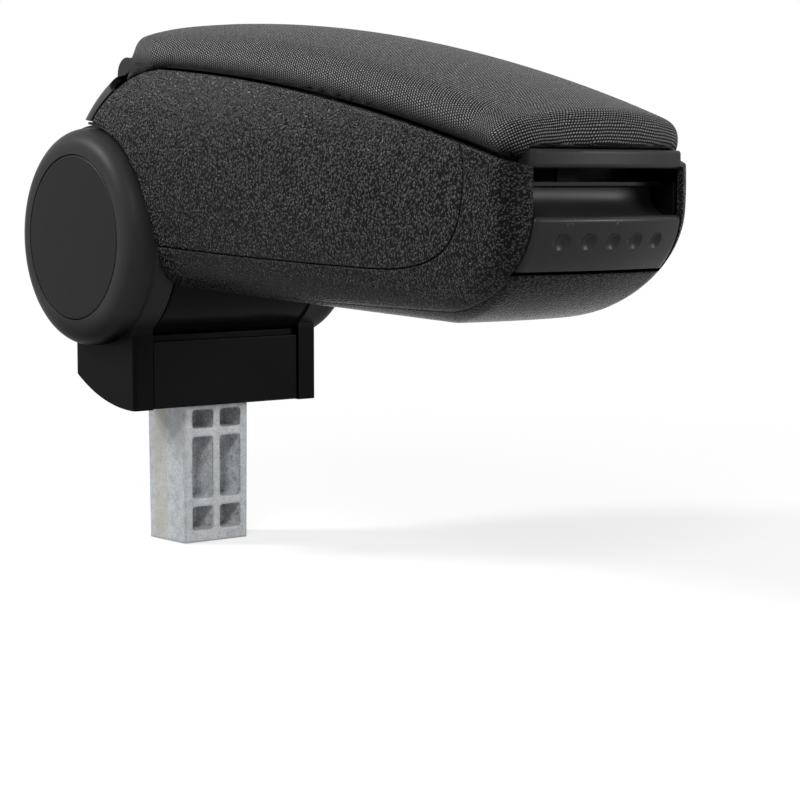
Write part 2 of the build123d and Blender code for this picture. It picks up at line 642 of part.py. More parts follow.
# Front bezel: the bay behind the nose opening, in which the paddle slides.
bezel_inner = BEZEL_REAR + BEZEL_WALL
tongue_bottom = TONGUE_TOP - TONGUE_THICKNESS
striker_foot = tongue_bottom - STRIKER_PLAY
slot_half = TONGUE_HALF + STRIKER_PLAY
with BuildPart() as front_bezel:
    add(side_block(BEZEL_REAR, BEZEL_FRONT, -BAY_FLOOR - BEZEL_WALL, BEZEL_TOP, BAY_HALF + BEZEL_WALL))
    add(side_block(bezel_inner, FORM_AHEAD, -BAY_FLOOR, FORM_TOP, BAY_HALF), mode=Mode.SUBTRACT)
    floor_cut = side_block(BEZEL_FLOOR_FRONT, FORM_AHEAD, -FORM_TOP, -BAY_FLOOR + BEZEL_WALL, REACH)
    add(floor_cut, mode=Mode.SUBTRACT)
    add(side_block(SHELF_REAR, SHELF_FRONT, COVE_TOP + SHELF_PLAY, BEZEL_TOP, BAY_HALF + BEZEL_WALL))
    add(tub_form, mode=Mode.INTERSECT)
    with BuildSketch(Plane.YZ.offset(BEZEL_REAR - HUB_BACK)):
        with Locations((0, HUB_HEIGHT - STEM_DROP)):
            with GridLocations(STEM_PITCH, 1, 2, 1):
                Circle(STEM_RADIUS + STEM_PLAY)
    extrude(amount=BEZEL_WALL, mode=Mode.SUBTRACT)
    slot_foot = striker_foot - STRIKER_NOSE - STRIKER_PLAY
    tongue_slot = side_block(BEZEL_REAR, bezel_inner, slot_foot, TONGUE_TOP + STRIKER_PLAY, slot_half)
    add(tongue_slot, mode=Mode.SUBTRACT)
front_bezel.part.label = "front_bezel"
export_step(front_bezel.part, "parts/front_bezel.step")

# Release paddle: a bowed push piece with a finger cove along its top and a row of dimples for the thumb.
paddle_form = arm_form(PADDLE_SINK)
paddle_hollow = arm_form(PADDLE_SINK + PADDLE_WALL)
cove_foot = COVE_CENTRE - COVE_RADIUS
cove_height = PADDLE_TOP + COVE_RADIUS
dimple_reach = ((CHIN_TOP + CHIN_DROP) ** 2 - (CHIN_TOP - DIMPLE_HEIGHT) ** 2) ** 0.5 / (CHIN_TOP + CHIN_DROP)
dimple_face = CHIN_BACK + (ARM_NOSE - CHIN_BACK) * dimple_reach - PADDLE_SINK - (ARM_NOSE - NOSE_BOW)
dimple_centre = dimple_face + DIMPLE_RADIUS - DIMPLE_DEPTH
dimple_turn = degrees(DIMPLE_PITCH / NOSE_BOW)
bow_place = Plane(origin=(ARM_NOSE - NOSE_BOW - HUB_BACK, 0, HUB_HEIGHT + DIMPLE_HEIGHT))
with BuildPart() as release_paddle:
    add(side_block(PADDLE_REAR, FORM_AHEAD, -PADDLE_BOTTOM, PADDLE_TOP, PADDLE_HALF))
    add(side_block(PADDLE_REAR, COVE_CENTRE, PADDLE_TOP, COVE_TOP, PADDLE_HALF))
    add(side_round(COVE_CENTRE, cove_height, COVE_RADIUS), mode=Mode.SUBTRACT)
    add(side_block(cove_foot, FORM_AHEAD, cove_height, FORM_TOP, REACH), mode=Mode.SUBTRACT)
    add(paddle_form, mode=Mode.INTERSECT)
    flank = release_paddle.edges().filter_by(lambda edge: abs(abs(edge.center().Y) - PADDLE_HALF) < CLOSE)
    flank = flank.filter_by(lambda edge: edge.center().Z < HUB_HEIGHT + PADDLE_TOP / 2)
    fillet(flank.group_by(Axis.X)[-1], PADDLE_SIDE_ROUND)
    brow_height = HUB_HEIGHT + PADDLE_TOP
    brow = release_paddle.edges().filter_by_position(Axis.Z, brow_height - CLOSE, brow_height + CLOSE)
    brow_rear = ARM_NOSE - HUB_BACK - NOSE_ROUND / 2
    fillet(brow.filter_by(lambda edge: edge.center().X > brow_rear), PADDLE_BROW_ROUND)
    foot_height = HUB_HEIGHT - PADDLE_BOTTOM
    foot = release_paddle.edges().filter_by_position(Axis.Z, foot_height - CLOSE, foot_height + CLOSE)
    fillet(foot.filter_by(lambda edge: edge.center().X > PADDLE_REAR), PADDLE_FOOT_ROUND)
    with BuildPart(mode=Mode.SUBTRACT):
        hollow_top = PADDLE_TOP - PADDLE_WALL
        hollow_half = PADDLE_HALF - PADDLE_WALL
        add(side_block(PADDLE_REAR + PADDLE_WALL, FORM_AHEAD, -FORM_TOP, hollow_top, hollow_half))
        add(side_round(COVE_CENTRE, cove_height, COVE_RADIUS + PADDLE_WALL), mode=Mode.SUBTRACT)
        add(paddle_hollow, mode=Mode.INTERSECT)
    with Locations(bow_place):
        with PolarLocations(
            dimple_centre, DIMPLE_COUNT, -dimple_turn * (DIMPLE_COUNT - 1) / 2, dimple_turn * DIMPLE_COUNT
        ):
            Sphere(DIMPLE_RADIUS, mode=Mode.SUBTRACT)
    with BuildSketch(Plane.YZ.offset(STEM_TAIL - HUB_BACK)):
        with Locations((0, HUB_HEIGHT - STEM_DROP)):
            with GridLocations(STEM_PITCH, 1, 2, 1):
                Circle(STEM_RADIUS)
    extrude(amount=PADDLE_REAR - STEM_TAIL)
    window_rear = bezel_inner + STRIKER_PLAY + STRIKER_BITE / 2
    add(side_block(window_rear - TONGUE_BAR, PADDLE_REAR, tongue_bottom, TONGUE_TOP, TONGUE_HALF))
    window_half = STRIKER_HALF + STRIKER_PLAY
    window = side_block(window_rear, PADDLE_REAR, striker_foot, TONGUE_TOP + STRIKER_PLAY, window_half)
    add(window, mode=Mode.SUBTRACT)
release_paddle.part.label = "release_paddle"
export_step(release_paddle.part, "parts/release_paddle.step")

# Return leaf: a bowed spring strip between the bezel's back wall and the paddle.
leaf_foot = bezel_inner + LEAF_PLAY
leaf_rise = PADDLE_REAR - LEAF_PLAY - LEAF_THICKNESS - leaf_foot
with BuildPart() as return_leaf:
    with BuildSketch(Plane.XY.offset(HUB_HEIGHT - LEAF_BOTTOM)):
        with BuildLine(Plane.XY.offset(HUB_HEIGHT - LEAF_BOTTOM)):
            foot_x = leaf_foot - HUB_BACK
            bow = ThreePointArc((foot_x, -LEAF_HALF), (foot_x + leaf_rise, 0), (foot_x, LEAF_HALF))
            outer_bow = ThreePointArc(
                (foot_x + LEAF_THICKNESS, -LEAF_HALF),
                (foot_x + LEAF_THICKNESS + leaf_rise, 0),
                (foot_x + LEAF_THICKNESS, LEAF_HALF),
            )
            Line(bow @ 0, outer_bow @ 0)
            Line(bow @ 1, outer_bow @ 1)
        make_face()
    extrude(amount=LEAF_TOP + LEAF_BOTTOM)
return_leaf.part.label = "return_leaf"
export_step(return_leaf.part, "parts/return_leaf.step")

# Lid pin, held in the chassis knuckles.
with BuildPart() as lid_pin:
    add(side_round(PIN_AHEAD, PIN_HEIGHT, PIN_RADIUS, outer=2 * knuckle_pitch + KNUCKLE_LENGTH / 2))
lid_pin.part.label = "lid_pin"
export_step(lid_pin.part, "parts/lid_pin.step")

# Lid plate: a curved board under the cushion, with knuckles and a roll round the pin at the rear.
plate_form = arm_form(LID_INSET)
lid_above = split_below(SPLIT_GAP)
plate_above = split_below(SPLIT_GAP + LID_PLATE)
pin_rise = ((SPLIT_RADIUS + SPLIT_GAP) ** 2 - (PIN_AHEAD - SPLIT_APEX) ** 2) ** 0.5
pin_split = SPLIT_APEX_HEIGHT - SPLIT_RADIUS + pin_rise
with BuildPart() as lid_plate:
    add(plate_form)
    add(plate_above, mode=Mode.INTERSECT)
    add(lid_above, mode=Mode.SUBTRACT)
    add(side_block(PIN_AHEAD, LIP_BACK, 0, FORM_TOP, REACH), mode=Mode.INTERSECT)
    for y in lid_knuckles:
        add(knuckle_at(y, pin_split - PIN_HEIGHT + LID_PLATE / 2))
    with BuildSketch(side):
        with BuildLine():
            roll = CenterArc((PIN_AHEAD, PIN_HEIGHT), ROLL_RADIUS, 90, ROLL_SWEEP)
            roll_inside = CenterArc((PIN_AHEAD, PIN_HEIGHT), ROLL_RADIUS - ROLL_WALL, 90, ROLL_SWEEP)
            Line(roll @ 0, roll_inside @ 0)
            Line(roll @ 1, roll_inside @ 1)
        make_face()
    extrude(amount=ROLL_HALF, both=True)
lid_plate.part.label = "lid_plate"
export_step(lid_plate.part, "parts/lid_plate.step")

# Lid lip: a smooth bar along the lid's front edge, gripped to lift the lid.
lip_form = arm_form(LIP_SINK)
with BuildPart() as lid_lip:
    add(side_block(LIP_BACK, FORM_AHEAD, LIP_BOTTOM, LIP_TOP, LIP_HALF))
    add(lip_form, mode=Mode.INTERSECT)
    fillet(lid_lip.faces().sort_by(Axis.X)[-1].edges(), LIP_ROUND)
lid_lip.part.label = "lid_lip"
export_step(lid_lip.part, "parts/lid_lip.step")

# Striker: a steel hook under the lid plate that catches behind the paddle's tongue.
striker_front = window_rear + STRIKER_PLAY + STRIKER_PLATE
with BuildPart() as striker:
    striker_end = striker_foot - STRIKER_NOSE
    add(side_block(striker_front - STRIKER_PLATE, striker_front, striker_end, FORM_TOP, STRIKER_HALF))
    add(lid_above, mode=Mode.INTERSECT)
    add(side_block(window_rear - STRIKER_BITE, striker_front, striker_end, striker_foot, STRIKER_HALF))
striker.part.label = "striker"
export_step(striker.part, "parts/striker.step")

# Cushion: one upholstered pad with a crowned top, wrapped round the lid plate.
def cushion_section(ahead):
    """One cross-section of the cushion: the arm's bulged sides under a crowned top with round edges."""
    share = (ahead + FORM_BEHIND) / (FORM_AHEAD + FORM_BEHIND)
    half = HALF_REAR + (HALF_FRONT - HALF_REAR) * share - CUSHION_SINK
    bulge = BULGE_REAR + (BULGE_FRONT - BULGE_REAR) * share
    top = CUSHION_APEX_HEIGHT - CUSHION_RADIUS + (CUSHION_RADIUS**2 - (ahead - CUSHION_APEX) ** 2) ** 0.5
    shoulder = top - CUSHION_FALL
    foot = top - CUSHION_FOOT
    middle = (shoulder + foot) / 2

    def width(height):
        return half - SIDE_RADIUS + (SIDE_RADIUS**2 - (height - bulge) ** 2) ** 0.5

    across = Plane(origin=(ahead - HUB_BACK, 0, HUB_HEIGHT), x_dir=(0, 1, 0), z_dir=(1, 0, 0))
    with BuildSketch(across) as section:
        with BuildLine():
            ThreePointArc((-width(shoulder), shoulder), (0, top), (width(shoulder), shoulder))
            ThreePointArc((width(shoulder), shoulder), (width(middle), middle), (width(foot), foot))
            Line((width(foot), foot), (-width(foot), foot))
            ThreePointArc((-width(foot), foot), (-width(middle), middle), (-width(shoulder), shoulder))
        make_face()
        fillet(section.vertices().group_by(Axis.Y)[-1], CUSHION_EDGE)
    return section.sketch.face()


cushion_step = FORM_AHEAD / (CUSHION_STATIONS - 1)
cushion_front = ARM_NOSE - NOSE_ROUND - CUSHION_EDGE / 2
with BuildPart() as skirt:
    add(side_block(CUSHION_REAR, FLANK_CENTRE, 0, FORM_TOP, REACH))
    add(side_block(CUSHION_REAR, FLANK_CENTRE, 0, FORM_TOP, SKIRT_INNER), mode=Mode.SUBTRACT)
    add(keep_ahead(FLANK_CENTRE, FLANK_CENTRE_HEIGHT, FLANK_RADIUS + SPLIT_GAP), mode=Mode.SUBTRACT)

with BuildPart() as cushion:
    loft([cushion_section(cushion_step * station) for station in range(CUSHION_STATIONS)])
    add(arm_form(0.0, CUSHION_SET), mode=Mode.INTERSECT)
    add(side_block(CUSHION_REAR, FORM_AHEAD, 0, FORM_TOP, REACH), mode=Mode.INTERSECT)
    high = cushion.edges().filter_by(lambda edge: edge.center().Z > HUB_HEIGHT + LIP_TOP)
    fillet(high.filter_by(lambda edge: edge.center().X > cushion_front - HUB_BACK), CUSHION_FRONT_ROUND)
    high = cushion.edges().filter_by(lambda edge: edge.center().Z > HUB_HEIGHT + LIP_TOP)
    fillet(high.group_by(Axis.X)[0], CUSHION_REAR_ROUND)
    with BuildPart(mode=Mode.SUBTRACT):
        add(lid_above)
        add(skirt.part, mode=Mode.SUBTRACT)
    add(lid_plate.part, mode=Mode.SUBTRACT)
    lip_room = side_block(LIP_BACK - LIP_PLAY, FORM_AHEAD, 0, LIP_TOP + LIP_PLAY, LIP_HALF + LIP_PLAY)
    add(lip_room, mode=Mode.SUBTRACT)
cushion.part.label = "cushion"
export_step(cushion.part, "parts/cushion.step")
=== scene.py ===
import math

import bmesh
import bpy
import numpy as np
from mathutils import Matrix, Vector


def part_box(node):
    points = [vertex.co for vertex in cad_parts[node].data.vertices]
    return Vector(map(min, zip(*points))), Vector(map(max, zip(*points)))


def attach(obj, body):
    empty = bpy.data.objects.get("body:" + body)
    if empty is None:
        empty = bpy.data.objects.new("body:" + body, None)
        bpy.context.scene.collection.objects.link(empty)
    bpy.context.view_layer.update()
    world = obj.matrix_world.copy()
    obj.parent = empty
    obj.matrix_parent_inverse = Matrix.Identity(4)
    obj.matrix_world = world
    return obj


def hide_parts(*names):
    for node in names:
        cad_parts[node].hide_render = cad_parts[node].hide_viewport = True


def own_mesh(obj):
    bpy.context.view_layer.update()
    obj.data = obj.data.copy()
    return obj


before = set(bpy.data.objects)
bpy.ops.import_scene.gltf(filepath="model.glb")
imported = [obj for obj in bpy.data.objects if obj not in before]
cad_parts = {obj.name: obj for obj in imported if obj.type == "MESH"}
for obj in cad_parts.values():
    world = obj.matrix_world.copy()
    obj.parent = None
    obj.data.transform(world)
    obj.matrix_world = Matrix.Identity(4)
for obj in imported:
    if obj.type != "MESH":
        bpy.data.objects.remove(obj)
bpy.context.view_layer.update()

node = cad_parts

# Mounting post: one die casting in zinc-aluminium alloy, left as it leaves the tool, with open pockets
# in front that save metal. Its tenon is held in the base by two screws.


def linear(hex_code):
    """An sRGB hex colour as linear RGBA."""
    values = [int(hex_code[i : i + 2], 16) / 255 for i in (1, 3, 5)]
    return [v / 12.92 if v <= 0.04045 else ((v + 0.055) / 1.055) ** 2.4 for v in values] + [1.0]


def per_mm(size):
    """Texture scale, in repeats per metre, for a detail of that size in millimetres."""
    return 1000 / size


def feed(tree, made, inputs):
    """Fills inputs: a value is set on its socket, and an output, or a node's first one, is linked to it."""
    for name, value in inputs.items():
        if isinstance(value, bpy.types.Node):
            value = value.outputs[0]
        if isinstance(value, bpy.types.NodeSocket):
            tree.links.new(value, made.inputs[name])
        else:
            made.inputs[name].default_value = value


def add_node(tree, kind, inputs, **settings):
    """A shader node with its settings and its inputs."""
    made = tree.nodes.new("ShaderNode" + kind)
    for name, value in settings.items():
        setattr(made, name, value)
    feed(tree, made, inputs)
    return made


def new_material(name):
    """A new material with its node tree, its shader and the place on the piece, in metres."""
    material = bpy.data.materials.new(name)
    material.use_nodes = True
    tree = material.node_tree
    shader = tree.nodes["Principled BSDF"]
    place = add_node(tree, "TexCoord", {}).outputs["Object"]
    return material, tree, shader, place


def finish_in(material, *names):
    """Gives CAD nodes their finish."""
    for name in names:
        node[name].data.materials.clear()
        node[name].data.materials.append(material)


# Die-cast zinc-aluminium: mid-grey, with a frosted and slightly pitted skin, clouded where the melt met the
# cold tool. Each flank has a dressed strip, warmer in tone, with short marks across it. The pockets are
# painted paler, a painted light against the shade deep in them. The oxide skin hides part of the metal's
# shine.
CAST_PALE = "#aaacae"
CAST_DARK = "#848789"
CAST_DRESSED = "#96948c"
CAST_POCKET_LIGHT = "#e0e2e4"
CLOUD_MM = 5.0
SKIN_MM = 0.9
MARK_MM = 2.1
MARK_FLAT = 0.12
SKIN_DEEP = 0.00025
CAST_EDGE = 0.0014
CAST_SHINE = 0.35
DRESSED_REAR = -0.0105
DRESSED_FRONT = 0.0010
DRESSED_FADE = 0.002
DRESSED_STEP = 0.0006
FLANK_TURN = 0.9
POCKETS_HALF = 0.0150
FRAME_BACK = 0.0146
cast_alloy, tree, shader, place = new_material("die_cast_alloy")
along = add_node(tree, "SeparateXYZ", {0: place})
clouds = add_node(
    tree, "TexNoise", {"Vector": place, "Scale": per_mm(CLOUD_MM), "Detail": 4.0, "Roughness": 0.65}
)
skin = add_node(
    tree, "TexNoise", {"Vector": place, "Scale": per_mm(SKIN_MM), "Detail": 3.0, "Roughness": 0.6}
)
stain = add_node(tree, "Math", {0: clouds, 1: skin}, operation="ADD")
level = add_node(tree, "MapRange", {"Value": stain, "From Min": 0.72, "From Max": 1.28})
tint = add_node(tree, "Mix", {0: level, 6: linear(CAST_DARK), 7: linear(CAST_PALE)}, data_type="RGBA")
facing = add_node(tree, "SeparateXYZ", {0: add_node(tree, "NewGeometry", {}).outputs["True Normal"]})
flank = add_node(tree, "Math", {0: facing.outputs["Y"]}, operation="ABSOLUTE")
on_flank = add_node(tree, "Math", {0: flank, 1: FLANK_TURN}, operation="GREATER_THAN")
from_rear = add_node(
    tree,
    "MapRange",
    {"Value": along.outputs["X"], "From Min": DRESSED_REAR, "From Max": DRESSED_REAR + DRESSED_FADE},
    interpolation_type="SMOOTHSTEP",
)
to_front = add_node(
    tree,
    "MapRange",
    {"Value": along.outputs["X"], "From Min": DRESSED_FRONT, "From Max": DRESSED_FRONT - DRESSED_STEP},
    interpolation_type="SMOOTHSTEP",
)
strip = add_node(tree, "Math", {0: from_rear, 1: to_front}, operation="MULTIPLY")
dressed = add_node(tree, "Math", {0: strip, 1: on_flank}, operation="MULTIPLY")
flattened = add_node(tree, "Mapping", {"Vector": place, "Scale": (MARK_FLAT, 1.0, 1.0)})
marks = add_node(
    tree, "TexNoise", {"Vector": flattened, "Scale": per_mm(MARK_MM), "Detail": 3.0, "Roughness": 0.7}
)
marked = add_node(tree, "MapRange", {"Value": marks, "From Min": 0.35, "From Max": 0.65, "To Min": 0.2})
warm = add_node(tree, "Math", {0: dressed, 1: marked}, operation="MULTIPLY")
colour = add_node(tree, "Mix", {0: warm, 6: tint.outputs[2], 7: linear(CAST_DRESSED)}, data_type="RGBA")
# Painted light: the pockets are painted paler than the rest of the casting, to hold off the shade in them.
inward = add_node(tree, "Math", {0: along.outputs["Y"]}, operation="ABSOLUTE")
between = add_node(tree, "Math", {0: inward, 1: POCKETS_HALF}, operation="LESS_THAN")
behind_face = add_node(tree, "Math", {0: along.outputs["X"], 1: FRAME_BACK}, operation="LESS_THAN")
in_pocket = add_node(tree, "Math", {0: between, 1: behind_face}, operation="MULTIPLY")
pocket_light = add_node(tree, "Math", {0: in_pocket, 1: level}, operation="MULTIPLY")
colour = add_node(tree, "Mix", {0: pocket_light, 6: colour.outputs[2], 7: linear(CAST_POCKET_LIGHT)}, data_type="RGBA")
dull = add_node(
    tree, "MapRange", {"Value": clouds, "From Min": 0.3, "From Max": 0.7, "To Min": 0.52, "To Max": 0.38}
)
relief = add_node(tree, "Math", {0: warm, 1: 0.5, 2: skin}, operation="MULTIPLY_ADD")
soft_edge = add_node(tree, "Bevel", {"Radius": CAST_EDGE}, samples=4)
bump = add_node(
    tree, "Bump", {"Height": relief, "Strength": 0.7, "Distance": SKIN_DEEP, "Normal": soft_edge}
)
feed(
    tree,
    shader,
    {"Base Color": colour.outputs[2], "Roughness": dull, "Normal": bump, "Metallic": CAST_SHINE},
)
finish_in(cast_alloy, "mounting_post")

# Stand housing: base block, cheeks and hub discs in one ABS moulding, with a clip-in front panel and two
# pressed-in hub caps. The hub is finely etched. The base block is painted near black under the arm, a painted
# shade.
# Moulded ABS: black and satin, with soft edges. The etching is finer than a pixel, so it is drawn coarser.
DRIFT_MM = 22.0
GLOSS_SPREAD = 0.035
SHADOW_FADE = 0.006
ETCH_SHADES = (0.65, 1.35)


def moulded_black(name, colour, roughness, level, etch=0.45, depth=0.012, edge=0.7, shaded_below=None):
    """Black moulding from a finely etched tool, faintly uneven in its gloss; sizes are in millimetres. Where
    shaded_below gives a colour and a height, the moulding has that colour below that height, a painted shade."""
    material, tree, shader, place = new_material(name)
    drift = add_node(tree, "TexNoise", {"Vector": place, "Scale": per_mm(DRIFT_MM), "Detail": 2.0})
    grit = add_node(tree, "TexNoise", {"Vector": place, "Scale": per_mm(etch), "Detail": 1.0})
    dark, pale = ([c * share for c in linear(colour)[:3]] + [1.0] for share in ETCH_SHADES)
    shade = add_node(tree, "Mix", {0: grit, 6: dark, 7: pale}, data_type="RGBA").outputs[2]
    if shaded_below is not None:
        # Painted shade: below the given height, the etched tone gives way to the darker colour.
        shadow_colour, height = shaded_below
        up = add_node(tree, "SeparateXYZ", {0: place}).outputs["Z"]
        etched = add_node(
            tree, "MapRange", {"Value": up, "From Min": height - SHADOW_FADE, "From Max": height + SHADOW_FADE}
        )
        shade = add_node(
            tree, "Mix", {0: etched, 6: linear(shadow_colour), 7: shade}, data_type="RGBA"
        ).outputs[2]
    gloss = add_node(
        tree,
        "MapRange",
        {
            "Value": drift,
            "From Min": 0.3,
            "From Max": 0.7,
            "To Min": roughness - GLOSS_SPREAD,
            "To Max": roughness + GLOSS_SPREAD,
        },
    )
    bump = add_node(tree, "Bump", {"Height": grit, "Strength": 0.5, "Distance": depth / 1000})
    if edge > 0:
        feed(tree, bump, {"Normal": add_node(tree, "Bevel", {"Radius": edge / 1000}, samples=4)})
    feed(
        tree,
        shader,
        {
            "Base Color": shade,
            "Roughness": gloss,
            "Normal": bump,
            "IOR": 1.5,
            "Specular IOR Level": level,
        },
    )
    return material


# Painted shade: the housing is near black up to a little over the front panel's top, as if in the arm's
# shadow.
SHADOW_OVER_PANEL = 0.008
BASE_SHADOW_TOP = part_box("base_front_panel")[1][2] + SHADOW_OVER_PANEL
housing_abs = moulded_black("etched_black_abs", "#282828", 0.42, 0.04, shaded_below=("#030303", BASE_SHADOW_TOP))
cap_abs = moulded_black("etched_black_abs_cap", "#161616", 0.4, 0.06)
# The front panel is painted a darker black than the hub, a painted shade from the arm over the base.
base_abs = moulded_black("black_abs_painted_shade", "#080808", 0.36, 0.04)
finish_in(housing_abs, "stand_housing")
finish_in(cap_abs, "hub_cap_right", "hub_cap_left")
finish_in(base_abs, "base_front_panel")

# Hinge shaft, nuts, screws, washers and lid pin: turned, cold-headed and stamped steel, zinc plated. The
# nuts draw the housing's cheeks on to the washers, and the screws hold the post.
# Bright zinc: cool grey, fairly glossy, with the fine tool marks showing through the thin plating.
TOOL_MARK_MM = 0.6
TOOL_MARK_DEEP = 0.00003


def plated_steel(name, dark, pale, smooth, rough):
    """Thinly plated steel between two tones and two degrees of gloss."""
    material, tree, shader, place = new_material(name)
    marks = add_node(tree, "TexNoise", {"Vector": place, "Scale": per_mm(TOOL_MARK_MM), "Detail": 3.0})
    gloss = add_node(
        tree,
        "MapRange",
        {"Value": marks, "From Min": 0.3, "From Max": 0.7, "To Min": smooth, "To Max": rough},
    )
    bump = add_node(tree, "Bump", {"Height": marks, "Strength": 0.3, "Distance": TOOL_MARK_DEEP})
    tint = add_node(tree, "Mix", {0: marks, 6: linear(dark), 7: linear(pale)}, data_type="RGBA")
    feed(
        tree, shader, {"Base Color": tint.outputs[2], "Roughness": gloss, "Normal": bump, "Metallic": 1.0}
    )
    return material


zinc_steel = plated_steel("zinc_plated_steel", "#a9adb0", "#c6c8c8", 0.22, 0.36)
finish_in(zinc_steel, "hinge_shaft", "shaft_nuts", "post_screws", "friction_washers", "lid_pin")

# Hinge bushes: two plain rings of natural acetal, turned and pressed into the ends of the arm's barrel, where
# they run on the hinge shaft.
# Acetal: milky and slightly waxy, with a soft gloss and faint turning marks.
TURNING_MM = 0.5
acetal, tree, shader, place = new_material("turned_acetal")
rings = add_node(tree, "TexNoise", {"Vector": place, "Scale": per_mm(TURNING_MM), "Detail": 1.0})
tint = add_node(tree, "Mix", {0: rings, 6: linear("#c9c6bd"), 7: linear("#dcdad2")}, data_type="RGBA")
bump = add_node(tree, "Bump", {"Height": rings, "Strength": 0.3, "Distance": TOOL_MARK_DEEP})
feed(tree, shader, {"Base Color": tint.outputs[2], "Normal": bump, "Roughness": 0.35, "IOR": 1.48})
finish_in(acetal, "hinge_bushes")

# Arm chassis and side shells: mouldings in black polypropylene that meet under the arm, with a leather
# grain etched into the tool. The chassis is smooth round the hinge barrel, where it runs in the base.
# Grained polypropylene: dull black creases between small pebbles. Each pebble's pale crest is a painted
# glint, and its bump also catches the lamps in a real glint.
GRAIN_EDGE = 0.0016
FADE_LENGTH = 0.004
NOSE_TURN = 1.3
CHIN_STARTS = 0.150
CHIN_HIGH = 0.034
CHIN_DEEP = 0.030


def leather_grain(
    name, crest_glint_colour, deep_colour, cell, depth, roughness, level, smooth_behind=None, nose=None
):
    """Black polypropylene with an etched leather grain, whose cell and depth are in millimetres. The grain
    fades out behind smooth_behind. Where nose is given, as its front and its rounding, the surface turns
    forward there, because the moulding's front corner is rounded."""
    material, tree, shader, place = new_material(name)
    waver = add_node(tree, "TexNoise", {"Vector": place, "Scale": per_mm(cell * 2.5), "Detail": 1.0})
    shift = add_node(
        tree,
        "VectorMath",
        {0: waver.outputs["Color"], 1: (cell * 0.0012,) * 3, 2: place},
        operation="MULTIPLY_ADD",
    )
    pebbles = add_node(
        tree,
        "TexVoronoi",
        {"Vector": shift, "Scale": per_mm(cell), "Smoothness": 0.35, "Randomness": 1.0},
        feature="SMOOTH_F1",
    )
    crest = add_node(
        tree,
        "MapRange",
        {"Value": pebbles.outputs["Distance"], "From Min": 0.62, "From Max": 0.08},
        interpolation_type="SMOOTHSTEP",
    )
    fine = add_node(tree, "TexNoise", {"Vector": place, "Scale": per_mm(cell * 0.8), "Detail": 1.0})
    relief = add_node(tree, "Math", {0: fine, 1: 0.8, 2: crest}, operation="MULTIPLY_ADD")
    tone = add_node(tree, "Math", {0: crest, 1: fine}, operation="MULTIPLY")
    if smooth_behind is not None:
        along = add_node(tree, "SeparateXYZ", {0: place}).outputs["X"]
        fade = add_node(
            tree,
            "MapRange",
            {"Value": along, "From Min": smooth_behind, "From Max": smooth_behind + FADE_LENGTH},
        )
        relief = add_node(tree, "Math", {0: relief, 1: fade}, operation="MULTIPLY")
        tone = add_node(tree, "Math", {0: tone, 1: fade}, operation="MULTIPLY")
    # Painted glints: the pebbles' crests are painted paler than the creases.
    painted_glint = add_node(tree, "MapRange", {"Value": tone, "From Min": 0.0, "From Max": 0.5})
    tint = add_node(
        tree, "Mix", {0: painted_glint, 6: linear(deep_colour), 7: linear(crest_glint_colour)}, data_type="RGBA"
    )
    soft_edge = add_node(tree, "Bevel", {"Radius": GRAIN_EDGE}, samples=6)
    if nose is not None:
        front, rounding = nose
        spot = add_node(tree, "SeparateXYZ", {0: place})
        under = add_node(
            tree,
            "MapRange",
            {"Value": spot.outputs["Z"], "From Min": CHIN_STARTS, "From Max": CHIN_STARTS - CHIN_HIGH},
        )
        squared = add_node(tree, "Math", {0: under, 1: under}, operation="MULTIPLY")
        remaining = add_node(tree, "Math", {0: 1.0, 1: squared}, operation="SUBTRACT")
        sweep = add_node(tree, "Math", {0: remaining}, operation="SQRT")
        back = add_node(tree, "Math", {0: 1.0, 1: sweep}, operation="SUBTRACT")
        ahead = add_node(
            tree, "Math", {0: back, 1: CHIN_DEEP, 2: spot.outputs["X"]}, operation="MULTIPLY_ADD"
        )
        turned = add_node(
            tree,
            "MapRange",
            {"Value": ahead, "From Min": front - rounding, "From Max": front, "To Max": NOSE_TURN},
            interpolation_type="SMOOTHSTEP",
        )
        forward = add_node(tree, "CombineXYZ", {"X": turned})
        leaning = add_node(tree, "VectorMath", {0: soft_edge, 1: forward}, operation="ADD")
        soft_edge = add_node(tree, "VectorMath", {0: leaning}, operation="NORMALIZE")
    bump = add_node(
        tree, "Bump", {"Height": relief, "Strength": 1.0, "Distance": depth / 1000, "Normal": soft_edge}
    )
    feed(
        tree,
        shader,
        {
            "Base Color": tint.outputs[2],
            "Normal": bump,
            "Roughness": roughness,
            "IOR": 1.49,
            "Specular IOR Level": level,
        },
    )
    return material


GRAIN_STARTS = 0.050
NOSE_ROUND = 0.011
SHELL_NOSE = (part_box("side_shell_right")[1][0], NOSE_ROUND)
shell_grain = leather_grain(
    "fine_grained_polypropylene", "#3c3c3c", "#090909", 0.95, 0.28, 0.17, 0.055, nose=SHELL_NOSE
)
chassis_grain = leather_grain(
    "fine_grained_polypropylene_chassis",
    "#3a3a3a",
    "#0c0c0c",
    0.95,
    0.24,
    0.2,
    0.035,
    smooth_behind=GRAIN_STARTS,
)
finish_in(shell_grain, "side_shell_right", "side_shell_left")
finish_in(chassis_grain, "arm_chassis")

# Side panels: thin inlays let into the shells, pressed in with a narrow seam round them. Their grain is
# a little coarser than the shells', and catches the light in small glints, partly real and partly painted on
# its crests.
panel_grain = leather_grain(
    "coarse_grained_polypropylene", "#424242", "#090909", 1.05, 0.36, 0.16, 0.055
)
finish_in(panel_grain, "side_panel_right", "side_panel_left")

